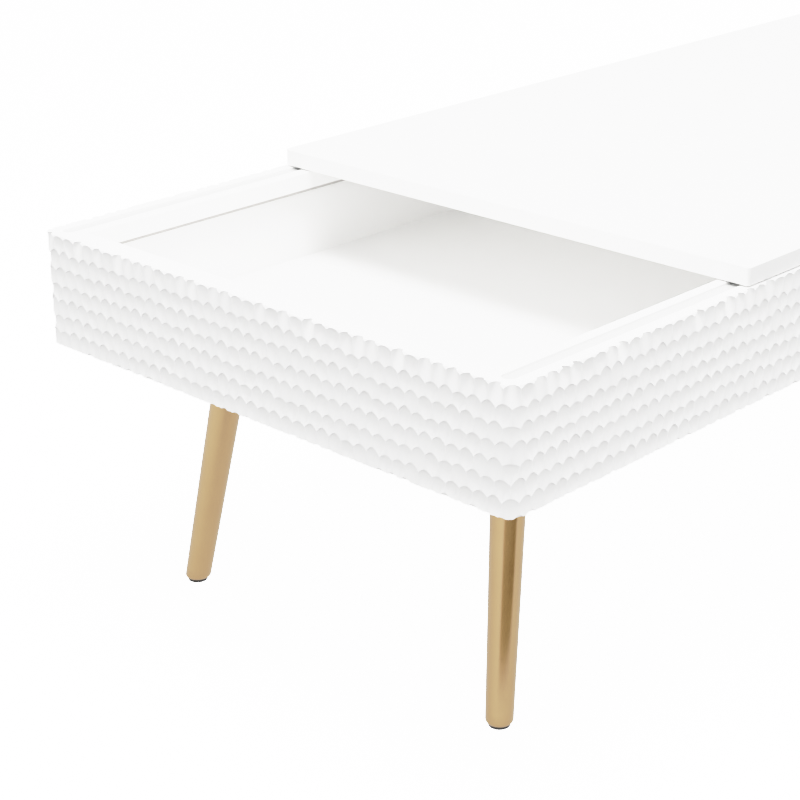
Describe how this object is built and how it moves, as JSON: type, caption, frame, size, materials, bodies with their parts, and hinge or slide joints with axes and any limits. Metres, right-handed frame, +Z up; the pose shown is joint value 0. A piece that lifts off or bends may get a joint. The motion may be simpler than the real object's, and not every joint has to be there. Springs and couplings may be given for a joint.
{
  "type": "sliding top coffee table",
  "caption": "Low oblong storage table: a box with scallop-carved sides on splayed round legs, and a flat lid that slides lengthwise along grooved rails to open the compartment.",
  "frame": {"origin": "on the floor, under the middle of the whole table's bounding box as it stands with the lid slid open", "axes": "+X along the length, the way the lid slides open; +Y from the front to the back; +Z up"},
  "size_m": [1.519, 0.61, 0.4072],
  "materials": {
    "white_lacquer": "white satin lacquer on fibreboard",
    "carved_lacquer": "white satin lacquer over machine-carved scallops",
    "gold_lacquer": "satin metallic gold lacquer on turned hardwood",
    "black_plastic": "matt moulded",
    "white_nylon": "natural nylon",
    "zinc_steel": "zinc plated",
    "screw_steel": "zinc plated",
    "beech": "bare beech"
  },
  "bodies": {
    "carcass": {"front_facing": "carved_lacquer", "front_apron": "white_lacquer", "front_rail": "white_lacquer", "back_facing": "carved_lacquer", "back_apron": "white_lacquer", "back_rail": "white_lacquer", "left_facing": "carved_lacquer", "left_apron": "white_lacquer", "left_rail": "white_lacquer", "right_facing": "carved_lacquer", "right_apron": "white_lacquer", "right_rail": "white_lacquer", "bottom_panel": "white_lacquer", "front_left_block": "white_lacquer", "front_left_leg": "gold_lacquer", "front_left_leg_plate": "zinc_steel", "front_left_leg_bolt": "zinc_steel", "front_left_glide": "black_plastic", "front_right_block": "white_lacquer", "front_right_leg": "gold_lacquer", "front_right_leg_plate": "zinc_steel", "front_right_leg_bolt": "zinc_steel", "front_right_glide": "black_plastic", "back_left_block": "white_lacquer", "back_left_leg": "gold_lacquer", "back_left_leg_plate": "zinc_steel", "back_left_leg_bolt": "zinc_steel", "back_left_glide": "black_plastic", "back_right_block": "white_lacquer", "back_right_leg": "gold_lacquer", "back_right_leg_plate": "zinc_steel", "back_right_leg_bolt": "zinc_steel", "back_right_glide": "black_plastic", "rail_dowels": "beech", "corner_dowels": "beech", "panel_screws": "screw_steel", "leg_plate_screws": "screw_steel", "glide_nails": "screw_steel"},
    "sliding_lid": {"lid_panel": "white_lacquer", "front_left_lid_guide": "white_nylon", "front_right_lid_guide": "white_nylon", "back_left_lid_guide": "white_nylon", "back_right_lid_guide": "white_nylon", "lid_guide_screws": "screw_steel"}
  },
  "joints": [
    {"name": "lid_slide", "type": "slide", "parent": "carcass", "child": "sliding_lid", "axis": [1, 0, 0], "range_m": [-0.322, 0]}
  ]
}
